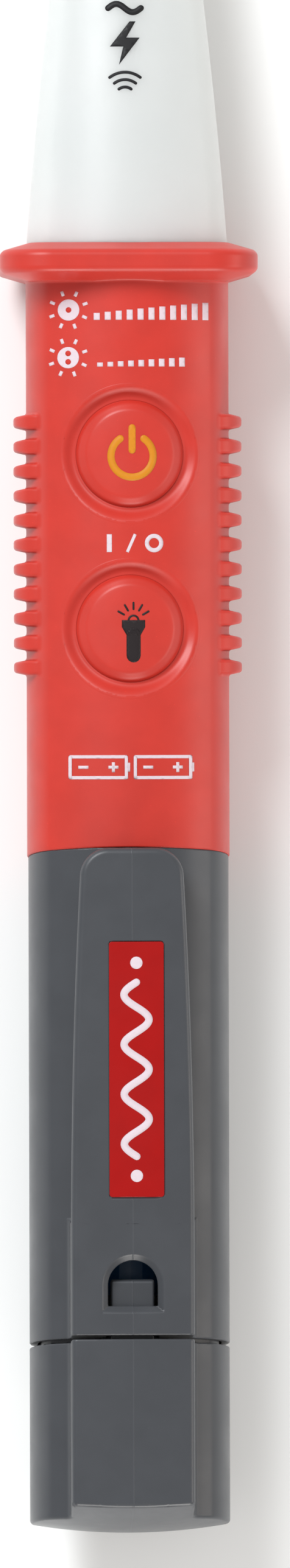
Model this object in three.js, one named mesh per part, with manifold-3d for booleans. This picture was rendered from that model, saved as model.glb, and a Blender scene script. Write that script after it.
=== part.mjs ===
// A pen-style non-contact voltage tester with a torch, two AAA cells and a pocket clip.
//
// Millimetres. The tester lies on its back: +X is to the right, +Y points to the sensing tip and
// +Z comes out of the front face, where the buttons and the pocket clip are. Every piece is drawn
// in barrel space, where Y is the distance from the battery cap's end and Z = 0 is the barrel's
// axis. One group at the end moves them all, so that the tester rests on Z = 0 with its middle
// at the origin.

import * as THREE from 'three';
import { mergeVertices } from 'three/addons/utils/BufferGeometryUtils.js';
import Module from 'manifold-3d';

const wasm = await Module();
wasm.setup();

// ---- Driving dimensions -------------------------------------------------------------------

const LENGTH = 176;
const WALL = 1.5;
const GAP = 0.2;

// Barrel section: crowned front and back, straight sides, rounded corners.
const RED = { width: 20.5, depth: 17 };
const GREY = { width: 20.25, depth: 16.75 };
const CROWN_RADIUS = 13.5;
const CORNER_RADIUS = 2.2;
const ARC_STEPS = 4;

// Stations along the barrel, from the cap's end.
const SPLIT = 19.15;
const SPLIT_HALF_GAP = 0.2;
const CLIP_ROOT = 32;
const CLIP_END = 69.7;
const RED_START = 68.8;
const TORCH_BUTTON = 91.75;
const POWER_BUTTON = 109.35;
const FLANGE_START = 126.75;
const FLANGE_END = 130.7;

// The seams and the cap's end lean: they lie this much nearer the tip for each millimetre of Z.
const SLANT = 0.125;

// Guard flange between the grip and the sensing nose.
const FLANGE = { width: 26, depth: 22.4, corner: 5, rim: 2.1, overhang: 2.6 };

// Grip ribs on both sides of the red housing.
const RIBS = {
  count: 11,
  pitch: 2.48,
  middle: 100.25,
  proud: 1.25,
  tip: 1,
  root: 1.45,
  height: 7.4,
  corner: 2.4,
};

// Buttons, the dish around each, and their travel onto the snap domes.
const BUTTON = { pad: 5.2, top: 4.4, hole: 5.5, dish: 6.5, floor: 5.8, proud: 0.25, shoulder: 0.35 };
const DISH_DEPTH = 0.7;
const DISH_DRAFT = 0.41;
const PLUG_REACH = 9;
const PAD_THICKNESS = 1.3;
const PLUNGER = { radius: 1.5, bottom: 6.3 };

// Ridge that carries the clip and the latch.
const RIDGE_TOP = 11.575;
const RIDGE_HALF_WIDTH = 6.2;
const RIDGE_EDGE = 0.55;
const CLIP = { thickness: 1.8, endHalfWidth: 5.05, corner: 2.7, bulgeAt: 51 };
const GRIP_PAD = { width: 6, length: 4.5, corner: 1.2, fromEnd: 5, bottom: 8.9 };
const LABEL = { x: 0.4, width: 5.5, from: 34.65, to: 60.3, thickness: 0.2, recess: 0.2 };
const WINDOW = { halfWidth: 2.51, from: 23.65, archAt: 25.75, bevel: 0.65, bevelDepth: 0.6 };
const CHANNEL = { halfWidth: 2.6, roof: 10.3, end: 29.6 };
const LATCH = { halfWidth: 2.15, bottom: 8.5, top: 9.95, from: 13.9, to: 26.2, slotFrom: 13.4, slotTo: 21 };

// Battery cap.
const CAP_DOME = { x: 50.4, y: 43, z: 41, start: 0.3 };
const CAP_FLOOR = 2.6;
const COLLAR = { outer: 1.15, inner: 1.9, end: 24.6 };

// Sleeve mouth, which takes the collar, and spigot, which enters the red housing.
const MOUTH = { inset: 0.9, end: 25.6 };
const SPIGOT = { outer: 1.1, inner: 1.9, lap: 0.8, length: 6 };

// Sensing nose: width and depth fall off along a parabola to a flattened tip.
const NOSE = { width: 20.25, depth: 16.7, tipWidth: 10, tipDepth: 4.8, bend: 0.35, round: 3, wall: 1.4 };
const NOSE_SPIGOT = { outer: 1.8, inner: 3, from: 125 };
const NOSE_STEPS = 10;
const NOSE_ARC_STEPS = 3;

// Cells, AAA size, in line and towards the back of the barrel.
const CELL = { radius: 5.25, length: 44.5, nubRadius: 1.9, nub: 0.9, rearAt: 6.6, gap: 0.2, z: -1 };
const CARRIER = { inset: 2.2, bore: 5.45, from: 29, bulkhead: 1.6, top: 4.1, slotHalfWidth: 3.2 };
const SPRING = { wire: 0.3, turns: 3.5, radius: 3.6, taper: 1.2 };
const CONTACT_FINGER = { from: -5.6, to: -4.2, bottom: 3.7, top: 4, end: 26.5 };
const RETURN_STRIP = { from: -6, to: -3.8, bottom: 4.2, top: 4.45, start: 25.2, lap: 5 };

// Circuit board, front side up, and what is soldered to it.
const BOARD = { halfWidth: 5.6, from: 76, to: 124, bottom: 4.6, thickness: 0.8 };
const SOLDER_GAP = 0.05;
const DOME = { radius: 2.6, height: 0.3 };
const CHIPS = [
  { name: 'controller_chip', x: 0, at: 100, width: 5, length: 5, height: 0.9 },
  { name: 'amplifier_chip', x: 0, at: 118.5, width: 4, length: 3, height: 0.8 },
  { name: 'boost_chip', x: 2.8, at: 84, width: 2, length: 3, height: 0.7 },
];
const LAMP = { x: 2.6, under: 2, back: 3, leg: 0.25 };
const BUZZER = { at: 106, radius: 4.5, height: 2.6, portRadius: 0.8 };
const COIL = { x: -2.6, at: 115, radius: 2, height: 2.4 };
const CAPACITOR = { x: 2.9, at: 115, width: 3, length: 4, height: 2.2 };

// Sensing plate in the tip and its wire.
const PLATE = { at: 158, width: 6.4, length: 22, corner: 1.6, thickness: 0.5 };
const LEAD = { radius: 0.35, fromBoardEnd: 8, ease: 10, end: 146.6 };

const FRONT_CELL_FROM = CELL.rearAt + CELL.length + CELL.gap;
const CELLS_END = FRONT_CELL_FROM + CELL.length;
const BULKHEAD_FROM = CELLS_END + 0.9;
const BOARD_TOP = BOARD.bottom + BOARD.thickness;

// ---- Finishes -----------------------------------------------------------------------------

const FINISH = {
  red: { color: 0xd4453a, roughness: 0.55, metalness: 0 },
  grey: { color: 0x54565a, roughness: 0.55, metalness: 0 },
  white: { color: 0xe8efee, roughness: 0.35, metalness: 0 },
  label: { color: 0xb81f1c, roughness: 0.4, metalness: 0 },
  black: { color: 0x1c1c1e, roughness: 0.6, metalness: 0 },
  board: { color: 0x1f6b3a, roughness: 0.45, metalness: 0 },
  steel: { color: 0xb8bcc0, roughness: 0.3, metalness: 1 },
  brass: { color: 0xc9a14a, roughness: 0.3, metalness: 1 },
  cell: { color: 0x2b5f8f, roughness: 0.35, metalness: 0.3 },
  clear: { color: 0xf4f6f2, roughness: 0.1, metalness: 0 },
  redLens: { color: 0xc8281e, roughness: 0.15, metalness: 0 },
};

// ---- Solids and booleans ------------------------------------------------------------------

/** Turn a closed geometry into a manifold solid, leaving out the triangles that merging closes up. */
function solid(geometry) {
  const bare = geometry.clone();
  bare.deleteAttribute('normal');
  bare.deleteAttribute('uv');
  const merged = mergeVertices(bare, 1e-4);
  const corners = Array.from(merged.index.array);
  const kept = [];
  for (let i = 0; i < corners.length; i += 3) {
    const [a, b, c] = corners.slice(i, i + 3);
    if (a !== b && b !== c && c !== a) kept.push(a, b, c);
  }
  return new wasm.Manifold(new wasm.Mesh({
    numProp: 3,
    vertProperties: merged.attributes.position.array,
    triVerts: Uint32Array.from(kept),
  }));
}

/** Give a manifold solid back as a geometry. */
function geometryOf(manifold) {
  const mesh = manifold.getMesh();
  const geometry = new THREE.BufferGeometry();
  geometry.setAttribute('position', new THREE.BufferAttribute(Float32Array.from(mesh.vertProperties), 3));
  geometry.setIndex(new THREE.BufferAttribute(Uint32Array.from(mesh.triVerts), 1));
  geometry.computeVertexNormals();
  return geometry;
}

function join(...parts) {
  return parts.reduce((whole, part) => whole.add(part));
}

function cut(whole, ...tools) {
  return tools.reduce((rest, tool) => rest.subtract(tool), whole);
}

/** Extrude a shape drawn in X and Z along Y, between two stations. */
function alongY(shape, from, to, options = {}) {
  const settings = { depth: to - from, bevelEnabled: false, curveSegments: ARC_STEPS, ...options };
  return new THREE.ExtrudeGeometry(shape, settings).rotateX(Math.PI / 2).translate(0, to, 0);
}

/** Extrude a shape drawn in X and Y along Z. */
function upward(shape, from, to, options = {}) {
  const settings = { depth: to - from, bevelEnabled: false, curveSegments: ARC_STEPS, ...options };
  return new THREE.ExtrudeGeometry(shape, settings).translate(0, 0, from);
}

/** Lean the part of a geometry below a station, so that its end follows the seams' slant. */
function slanted(geometry, below = LENGTH) {
  const position = geometry.attributes.position;
  for (let i = 0; i < position.count; i += 1) {
    const y = position.getY(i);
    if (y < below) position.setY(i, y + SLANT * position.getZ(i));
  }
  return geometry;
}

/** A box given by its lowest and highest corners. */
function box(low, high) {
  const size = high.map((value, axis) => value - low[axis]);
  const middle = high.map((value, axis) => (value + low[axis]) / 2);
  return new THREE.BoxGeometry(...size).translate(...middle);
}

/** A cylinder or cone standing along Z at (x, y). */
function post(x, y, from, to, radius, topRadius = radius, sides = 32) {
  const cylinder = new THREE.CylinderGeometry(topRadius, radius, to - from, sides);
  return cylinder.rotateX(Math.PI / 2).translate(x, y, (from + to) / 2);
}

/** A cylinder lying along Y at (x, z). */
function rod(x, z, from, to, radius, sides = 24) {
  return new THREE.CylinderGeometry(radius, radius, to - from, sides).translate(x, (from + to) / 2, z);
}

// ---- Outlines -----------------------------------------------------------------------------

/** The barrel's outline, or the same outline moved inward by an inset. */
function barrelShape({ width, depth }, inset = 0) {
  const halfWidth = width / 2 - inset;
  const halfDepth = depth / 2 - inset;
  const crown = CROWN_RADIUS - inset;
  const corner = Math.max(CORNER_RADIUS - inset, 0.5);
  const crownZ = halfDepth - crown;
  const cornerX = halfWidth - corner;
  const rise = Math.sqrt((crown - corner) ** 2 - cornerX ** 2);
  const cornerZ = crownZ + rise;
  const turn = Math.atan2(rise, cornerX);
  const shape = new THREE.Shape();
  shape.moveTo(halfWidth, -cornerZ);
  shape.absarc(cornerX, cornerZ, corner, 0, turn);
  shape.absarc(0, crownZ, crown, turn, Math.PI - turn);
  shape.absarc(-cornerX, cornerZ, corner, Math.PI - turn, Math.PI);
  shape.absarc(-cornerX, -cornerZ, corner, Math.PI, Math.PI + turn);
  shape.absarc(0, -crownZ, crown, Math.PI + turn, 2 * Math.PI - turn);
  shape.absarc(cornerX, -cornerZ, corner, 2 * Math.PI - turn, 2 * Math.PI);
  return shape;
}

/** A rectangle with rounded corners, centred on (x, y). */
function roundedRectangle(width, height, corner, x = 0, y = 0) {
  const cornerX = width / 2 - corner;
  const cornerY = height / 2 - corner;
  const shape = new THREE.Shape();
  shape.moveTo(x + width / 2, y - cornerY);
  shape.absarc(x + cornerX, y + cornerY, corner, 0, Math.PI / 2);
  shape.absarc(x - cornerX, y + cornerY, corner, Math.PI / 2, Math.PI);
  shape.absarc(x - cornerX, y - cornerY, corner, Math.PI, 1.5 * Math.PI);
  shape.absarc(x + cornerX, y - cornerY, corner, 1.5 * Math.PI, 2 * Math.PI);
  return shape;
}

/** The ridge's section in X and Z, with rounded top edges; its foot is buried in the barrel. */
function ridgeShape() {
  const shape = new THREE.Shape();
  const foot = 4;
  shape.moveTo(-RIDGE_HALF_WIDTH, foot);
  shape.lineTo(RIDGE_HALF_WIDTH, foot);
  shape.absarc(RIDGE_HALF_WIDTH - RIDGE_EDGE, RIDGE_TOP - RIDGE_EDGE, RIDGE_EDGE, 0, Math.PI / 2);
  shape.absarc(-RIDGE_HALF_WIDTH + RIDGE_EDGE, RIDGE_TOP - RIDGE_EDGE, RIDGE_EDGE, Math.PI / 2, Math.PI);
  return shape;
}

/** The D-shaped latch window in X and Y: flat sill towards the cap, arch towards the tip. */
function windowShape() {
  const shape = new THREE.Shape();
  shape.moveTo(-WINDOW.halfWidth, WINDOW.from);
  shape.lineTo(WINDOW.halfWidth, WINDOW.from);
  shape.absarc(0, WINDOW.archAt, WINDOW.halfWidth, 0, Math.PI);
  return shape;
}

/** The pocket clip in X and Y: flanks that draw in towards a free end with rounded corners. */
function clipShape() {
  const root = CLIP_ROOT + 1.5 * GAP;
  const half = CLIP.endHalfWidth;
  const shoulder = CLIP_END - CLIP.corner;
  const shape = new THREE.Shape();
  shape.moveTo(-RIDGE_HALF_WIDTH, root);
  shape.lineTo(RIDGE_HALF_WIDTH, root);
  shape.quadraticCurveTo(RIDGE_HALF_WIDTH, CLIP.bulgeAt, half, shoulder);
  shape.absarc(half - CLIP.corner, shoulder, CLIP.corner, 0, Math.PI / 2);
  shape.absarc(CLIP.corner - half, shoulder, CLIP.corner, Math.PI / 2, Math.PI);
  shape.quadraticCurveTo(-RIDGE_HALF_WIDTH, CLIP.bulgeAt, -RIDGE_HALF_WIDTH, root);
  return shape;
}

// ---- Front housing and buttons ------------------------------------------------------------

/** A stretch of the red barrel around a button, moved inward by an inset. */
function crownedBlock(station, inset) {
  return solid(alongY(barrelShape(RED, inset), station - PLUG_REACH, station + PLUG_REACH));
}

/** A round plug under the barrel's crowned front, moved inward by an inset. */
function crownedPlug(station, radius, inset) {
  return crownedBlock(station, inset).intersect(solid(post(0, station, 0, RED.depth, radius)));
}

/** The guard flange, drafted towards its rim. */
function flange() {
  const draft = (FLANGE_END - FLANGE_START - FLANGE.rim) / 2;
  const outline = roundedRectangle(FLANGE.width, FLANGE.depth, FLANGE.corner);
  const drafted = {
    bevelEnabled: true,
    bevelSegments: 1,
    bevelThickness: draft,
    bevelSize: FLANGE.overhang,
    bevelOffset: -FLANGE.overhang,
  };
  return solid(alongY(outline, FLANGE_START + draft, FLANGE_END - draft, drafted));
}

/** One grip rib: a drafted band that stands out of both sides of the barrel. */
function gripRib(station) {
  const half = RIBS.tip / 2;
  const root = roundedRectangle(RED.width, RIBS.height, RIBS.corner);
  const drafted = {
    bevelEnabled: true,
    bevelSegments: 1,
    bevelThickness: (RIBS.root - RIBS.tip) / 2,
    bevelSize: RIBS.proud,
    curveSegments: 2,
  };
  return solid(alongY(root, station - half, station + half, drafted));
}

/** The dish cut around a button, whose floor follows the crown. */
function buttonDish(station) {
  const floorZ = RED.depth / 2 - DISH_DEPTH;
  const lowRadius = BUTTON.floor - DISH_DRAFT * floorZ;
  const highRadius = lowRadius + DISH_DRAFT * RED.depth;
  const mouth = solid(post(0, station, 0, RED.depth, lowRadius, highRadius));
  const rim = solid(post(0, station, 0, RED.depth, BUTTON.dish));
  return mouth.intersect(rim).subtract(crownedBlock(station, DISH_DEPTH));
}

/** The red housing with its flange, ribs and button holes. */
function frontHousing() {
  const ribs = Array.from({ length: RIBS.count }, (_, i) => (
    gripRib(RIBS.middle + (i - (RIBS.count - 1) / 2) * RIBS.pitch)
  ));
  const shell = solid(slanted(alongY(barrelShape(RED), RED_START, FLANGE_END - 0.5), FLANGE_START));
  const outside = join(shell, flange(), ...ribs);
  const lapEnd = RED_START + SPIGOT.length + 2 * GAP;
  const stations = [TORCH_BUTTON, POWER_BUTTON];
  return cut(
    outside,
    solid(alongY(barrelShape(RED, WALL), RED_START - 2, FLANGE_END + 1)),
    solid(alongY(barrelShape(RED, SPIGOT.lap), RED_START - 2, lapEnd)),
    ...stations.map(buttonDish),
    ...stations.map((station) => solid(post(0, station, 2, RED.depth, BUTTON.hole))),
  );
}

/** A button: a stepped pad that follows the crown, with a plunger over its snap dome. */
function button(station) {
  const shoulder = crownedPlug(station, BUTTON.pad, BUTTON.shoulder);
  const top = crownedPlug(station, BUTTON.top, -BUTTON.proud);
  const plunger = solid(post(0, station, PLUNGER.bottom, RED.depth / 2 - 0.8, PLUNGER.radius));
  return cut(join(shoulder, top), crownedBlock(station, PAD_THICKNESS)).add(plunger);
}

// ---- Rear sleeve, clip and cap ------------------------------------------------------------

/** The flared cutter for the latch window, from the channel up through the ridge's top. */
function windowCutter() {
  const bevel = {
    bevelEnabled: true,
    bevelSegments: 1,
    bevelThickness: WINDOW.bevelDepth,
    bevelSize: WINDOW.bevel,
  };
  const throat = solid(upward(windowShape(), CHANNEL.roof - 0.5, RIDGE_TOP));
  return throat.add(solid(upward(windowShape(), RIDGE_TOP, RIDGE_TOP + 1, bevel)));
}

/** The grey sleeve: barrel, the ridge's root, the latch channel and the spigot. */
function rearSleeve() {
  const start = SPLIT + SPLIT_HALF_GAP;
  const end = RED_START - GAP;
  const outside = join(
    solid(slanted(alongY(barrelShape(GREY), start, end))),
    solid(slanted(alongY(ridgeShape(), start, CLIP_ROOT), CLIP_ROOT)),
    solid(alongY(barrelShape(RED, SPIGOT.outer), end - 1.5, RED_START + SPIGOT.length)),
  );
  return cut(
    outside,
    solid(alongY(barrelShape(GREY, WALL), start - 2, end - 2)),
    solid(alongY(barrelShape(GREY, MOUTH.inset), start - 2, MOUTH.end)),
    solid(alongY(barrelShape(RED, SPIGOT.inner), end - 3, RED_START + SPIGOT.length + 1)),
    solid(box([-CHANNEL.halfWidth, start - 2, 5], [CHANNEL.halfWidth, CHANNEL.end, CHANNEL.roof])),
    windowCutter(),
  );
}

/** The clip bar with its gripping pad underneath and a shallow seat for the label. */
function pocketClip() {
  const rounded = {
    bevelEnabled: true,
    bevelSegments: 2,
    bevelThickness: RIDGE_EDGE,
    bevelSize: RIDGE_EDGE,
    bevelOffset: -RIDGE_EDGE,
  };
  const bottom = RIDGE_TOP - CLIP.thickness;
  const bar = solid(upward(clipShape(), bottom + RIDGE_EDGE, RIDGE_TOP - RIDGE_EDGE, rounded));
  const padAt = CLIP_END - GRIP_PAD.fromEnd;
  const padShape = roundedRectangle(GRIP_PAD.width, GRIP_PAD.length, GRIP_PAD.corner, 0, padAt);
  const pad = solid(upward(padShape, GRIP_PAD.bottom, bottom + RIDGE_EDGE));
  const seat = solid(box(
    [LABEL.x - LABEL.width / 2 - 0.1, LABEL.from - 0.1, RIDGE_TOP - LABEL.recess],
    [LABEL.x + LABEL.width / 2 + 0.1, LABEL.to + 0.1, RIDGE_TOP + 1],
  ));
  return cut(join(bar, pad), seat);
}

/** The label in its seat on the clip. */
function clipLabel() {
  const bottom = RIDGE_TOP - LABEL.recess + SOLDER_GAP;
  const middle = (LABEL.from + LABEL.to) / 2;
  const outline = roundedRectangle(LABEL.width, LABEL.to - LABEL.from, 0.3, LABEL.x, middle);
  return upward(outline, bottom, bottom + LABEL.thickness, { curveSegments: 1 });
}

/** The battery cap: domed end, ridge, hollow, collar and the latch's slot. */
function batteryCap() {
  const end = SPLIT - SPLIT_HALF_GAP;
  const dome = new THREE.SphereGeometry(1, 32, 48).scale(CAP_DOME.x, CAP_DOME.y, CAP_DOME.z);
  const outside = join(
    solid(slanted(alongY(barrelShape(GREY), -1, end))),
    solid(slanted(alongY(ridgeShape(), -1, end))),
  );
  const shell = outside.intersect(solid(slanted(dome.translate(0, CAP_DOME.start + CAP_DOME.y, 0))));
  const collar = solid(alongY(barrelShape(GREY, COLLAR.outer), end - 3, COLLAR.end));
  return cut(
    join(shell, collar),
    solid(alongY(barrelShape(GREY, WALL), CAP_FLOOR, end - 2)),
    solid(alongY(barrelShape(GREY, COLLAR.inner), end - 3, COLLAR.end + 1)),
    solid(box(
      [-CHANNEL.halfWidth, LATCH.slotFrom, LATCH.bottom - 0.5],
      [CHANNEL.halfWidth, LATCH.slotTo, LATCH.top + 0.45],
    )),
  );
}

/** The latch tongue, with a thumb block under the window. */
function capLatch() {
  const blockFrom = WINDOW.from - 0.6;
  const { halfWidth, bottom, top, from, to } = LATCH;
  const tongue = box([-halfWidth, from, bottom], [halfWidth, to, top - 0.5]);
  const block = box([-halfWidth, blockFrom, bottom], [halfWidth, to, top]);
  return join(solid(tongue), solid(block));
}

// ---- Nose ---------------------------------------------------------------------------------

/** Shape factor of the nose at a station: 1 at its root, falling to `tip` along a parabola. */
function noseScale(station, tip) {
  const t = (station - FLANGE_END) / (LENGTH - FLANGE_END);
  return 1 - (1 - tip) * ((1 - NOSE.bend) * t + NOSE.bend * t * t);
}

/** Rounds the nose off over its last millimetres. */
function tipRounding(station, end) {
  const into = Math.max(0, (station - (end - NOSE.round)) / NOSE.round);
  return Math.sqrt(1 - 0.8 * into * into);
}

/** The tapering nose between two stations, moved inward by an inset. */
function noseBody(from, to, inset) {
  const size = { width: NOSE.width, depth: NOSE.depth };
  const geometry = alongY(barrelShape(size), from, to, { steps: NOSE_STEPS, curveSegments: NOSE_ARC_STEPS });
  const position = geometry.attributes.position;
  for (let i = 0; i < position.count; i += 1) {
    const along = (position.getY(i) - from) / (to - from);
    const station = from + (to - from) * (1 - (1 - along) ** 1.8);
    const rounding = tipRounding(station, to);
    const halfWidth = (NOSE.width / 2) * noseScale(station, NOSE.tipWidth / NOSE.width) - inset;
    const halfDepth = (NOSE.depth / 2) * noseScale(station, NOSE.tipDepth / NOSE.depth) - inset;
    const x = (position.getX(i) * halfWidth * rounding) / (NOSE.width / 2);
    const z = (position.getZ(i) * halfDepth * rounding) / (NOSE.depth / 2);
    position.setXYZ(i, x, station, z);
  }
  return solid(geometry);
}

/** The hollow nose, closed at its tip, with the spigot that enters the housing. */
function noseCone() {
  const root = FLANGE_END + GAP;
  const spigotEnd = root + 1;
  const outside = join(
    noseBody(root, LENGTH, 0),
    solid(alongY(barrelShape(RED, NOSE_SPIGOT.outer), NOSE_SPIGOT.from, spigotEnd)),
  );
  return cut(
    outside,
    noseBody(spigotEnd, LENGTH - 2.5, NOSE.wall),
    solid(alongY(barrelShape(RED, NOSE_SPIGOT.inner), NOSE_SPIGOT.from - 1, spigotEnd + 0.5)),
  );
}

// ---- Power supply -------------------------------------------------------------------------

/** An AAA cell: steel can, crimped edges and a positive nub towards the tip. */
function cell(from) {
  const bodyEnd = from + CELL.length - CELL.nub;
  const edge = 0.5;
  const profile = [
    [0, from],
    [CELL.radius - edge, from],
    [CELL.radius, from + edge],
    [CELL.radius, bodyEnd - edge],
    [CELL.radius - edge, bodyEnd],
    [CELL.nubRadius, bodyEnd],
    [CELL.nubRadius, from + CELL.length],
    [0, from + CELL.length],
  ].map(([radius, y]) => new THREE.Vector2(radius, y));
  return solid(new THREE.LatheGeometry(profile, 28).translate(0, 0, CELL.z));
}

/** The coil that presses the cells forward, wound from round wire. */
function capSpring() {
  const { wire, turns } = SPRING;
  const base = CAP_FLOOR + 1.1;
  const height = CELL.rearAt - base - 2 * wire;
  const points = [];
  for (let i = 0; i <= 16 * turns; i += 1) {
    const t = i / (16 * turns);
    const angle = 2 * Math.PI * turns * t;
    const radius = SPRING.radius - SPRING.taper * t;
    const y = base + wire + height * t;
    points.push(new THREE.Vector3(radius * Math.cos(angle), y, CELL.z + radius * Math.sin(angle)));
  }
  const section = new THREE.Shape().absarc(0, 0, wire, 0, 2 * Math.PI);
  const extrudePath = new THREE.CatmullRomCurve3(points);
  const steps = 16 * turns;
  const options = { steps, extrudePath, bevelEnabled: false, curveSegments: 4 };
  return solid(new THREE.ExtrudeGeometry(section, options));
}

/** The cap's contact plate, whose finger reaches forward under the return strip. */
function capContact() {
  const floor = CAP_FLOOR + 0.2;
  const plate = alongY(roundedRectangle(12, 9, 1.5, 0, -0.5), floor, floor + 0.4);
  const { from, to, bottom, top, end } = CONTACT_FINGER;
  return join(solid(plate), solid(box([from, floor, bottom], [to, end, top])));
}

/** The flat strip on the carrier's left rail that brings the negative side up to the board. */
function returnStrip() {
  const { from, to, bottom, top, start, lap } = RETURN_STRIP;
  return box([from, start, bottom], [to, BOARD.from + lap, top]);
}

/** The carrier: two side rails around the cells, joined by a bulkhead in front of them. */
function cellCarrier() {
  const end = BULKHEAD_FROM + CARRIER.bulkhead;
  const block = solid(alongY(barrelShape(RED, CARRIER.inset), CARRIER.from, end));
  const slot = CARRIER.slotHalfWidth;
  return cut(
    block,
    solid(box([-12, 0, CARRIER.top], [12, LENGTH, 20])),
    solid(rod(0, CELL.z, CARRIER.from - 1, BULKHEAD_FROM, CARRIER.bore, 28)),
    solid(box([-slot, CARRIER.from - 1, 0], [slot, BULKHEAD_FROM, 20])),
    solid(box([-slot, CARRIER.from - 1, -20], [slot, BULKHEAD_FROM, -4])),
  );
}

/** The positive contact: a plate with a raised dimple that meets the front cell's nub. */
function positiveContact() {
  const back = BULKHEAD_FROM - GAP;
  const plate = alongY(roundedRectangle(6, 7, 1, 0, CELL.z), back - 0.3, back);
  const dimple = new THREE.CylinderGeometry(1.2, 0.7, 0.3, 20).rotateX(Math.PI);
  return join(solid(plate), solid(dimple.translate(0, back - 0.4, CELL.z)));
}

// ---- Electronics --------------------------------------------------------------------------

/** The board, flat, with rounded corners. */
function circuitBoard() {
  const { halfWidth, from, to, bottom } = BOARD;
  const outline = roundedRectangle(2 * halfWidth, to - from, 1, 0, (from + to) / 2);
  return upward(outline, bottom, BOARD_TOP);
}

/** A domed metal disc under a button. */
function snapDome(station) {
  const bottom = BOARD_TOP + SOLDER_GAP;
  const sphere = (DOME.radius ** 2 + DOME.height ** 2) / (2 * DOME.height);
  const profile = [new THREE.Vector2(0, 0)];
  for (let i = 0; i <= 5; i += 1) {
    const radius = DOME.radius * (1 - i / 5);
    const height = Math.sqrt(sphere ** 2 - radius ** 2) - (sphere - DOME.height) + 0.04;
    profile.push(new THREE.Vector2(radius, height));
  }
  profile.splice(1, 0, new THREE.Vector2(DOME.radius, 0));
  return solid(new THREE.LatheGeometry(profile, 24).rotateX(Math.PI / 2).translate(0, station, bottom));
}

/** A plain block on the board, standing up from it or hanging down by a negative height. */
function boardBlock({ x, at, width, length, height }) {
  const face = height > 0 ? BOARD_TOP + SOLDER_GAP : BOARD.bottom - SOLDER_GAP;
  const [bottom, top] = height > 0 ? [face, face + height] : [face + height, face];
  return box([x - width / 2, at - length / 2, bottom], [x + width / 2, at + length / 2, top]);
}

/** A three-millimetre lamp lying along the barrel under the board's front end. */
function lamp(x) {
  const z = BOARD.bottom - LAMP.under;
  const from = BOARD.to - LAMP.back;
  const profile = [[0, 0], [1.7, 0], [1.7, 0.9], [1.5, 0.9], [1.5, 3.6], [1.15, 4.6], [0.6, 5], [0, 5.1]];
  const bulb = new THREE.LatheGeometry(profile.map(([r, y]) => new THREE.Vector2(r, y)), 20);
  const leg = box([x - LAMP.leg, from - 2.5, z], [x + LAMP.leg, from + 0.2, z + 0.4]);
  const riser = box([x - LAMP.leg, from - 2.5, z], [x + LAMP.leg, from - 2.1, BOARD.bottom - SOLDER_GAP]);
  return join(solid(bulb.translate(x, from, z)), solid(leg), solid(riser));
}

/** The buzzer under the board, with a sound port in its face. */
function buzzer() {
  const top = BOARD.bottom - SOLDER_GAP;
  const face = top - BUZZER.height;
  const can = post(0, BUZZER.at, face, top, BUZZER.radius);
  const port = post(0, BUZZER.at, face - 0.4, face + 0.4, BUZZER.portRadius, BUZZER.portRadius, 16);
  return cut(solid(can), solid(port));
}

/** The coil that steps the lamp voltage up. */
function boostCoil() {
  const top = BOARD.bottom - SOLDER_GAP;
  return post(COIL.x, COIL.at, top - COIL.height, top, COIL.radius, COIL.radius, 20);
}

/** The sensing plate inside the tip. */
function sensorPlate() {
  const outline = roundedRectangle(PLATE.width, PLATE.length, PLATE.corner, 0, PLATE.at);
  return upward(outline, -PLATE.thickness / 2, PLATE.thickness / 2);
}

/** The wire from the board's underside to the sensing plate. */
function sensorLead() {
  const start = new THREE.Vector3(0, BOARD.to - LEAD.fromBoardEnd, BOARD.bottom - 0.6);
  const end = new THREE.Vector3(0, LEAD.end, 0);
  const path = new THREE.CubicBezierCurve3(
    start,
    new THREE.Vector3(0, start.y + LEAD.ease, start.z),
    new THREE.Vector3(0, end.y - LEAD.ease, end.z),
    end,
  );
  const section = new THREE.Shape().absarc(0, 0, LEAD.radius, 0, 2 * Math.PI);
  return solid(new THREE.ExtrudeGeometry(section, {
    steps: 16,
    extrudePath: path,
    bevelEnabled: false,
    curveSegments: 4,
  }));
}

// ---- Assembly -----------------------------------------------------------------------------

const tester = new THREE.Group();
const barrel = new THREE.Group();
barrel.position.set(0, -LENGTH / 2, FLANGE.depth / 2);
tester.add(barrel);

/** Add one named piece, made as a geometry or as a manifold solid. */
function add(name, piece, finish) {
  const geometry = piece instanceof THREE.BufferGeometry ? piece : geometryOf(piece);
  const mesh = new THREE.Mesh(geometry, new THREE.MeshStandardMaterial(finish));
  mesh.name = name;
  barrel.add(mesh);
}

add('front_housing', frontHousing(), FINISH.red);
add('power_button', button(POWER_BUTTON), FINISH.red);
add('torch_button', button(TORCH_BUTTON), FINISH.red);
add('nose_cone', noseCone(), FINISH.white);

add('rear_sleeve', rearSleeve(), FINISH.grey);
add('pocket_clip', pocketClip(), FINISH.grey);
add('clip_label', clipLabel(), FINISH.label);
add('battery_cap', batteryCap(), FINISH.grey);
add('cap_latch', capLatch(), FINISH.grey);

add('cell_rear', cell(CELL.rearAt), FINISH.cell);
add('cell_front', cell(FRONT_CELL_FROM), FINISH.cell);
add('cell_carrier', cellCarrier(), FINISH.black);
add('cap_spring', capSpring(), FINISH.steel);
add('cap_contact', capContact(), FINISH.steel);
add('return_strip', returnStrip(), FINISH.brass);
add('positive_contact', positiveContact(), FINISH.brass);

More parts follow.
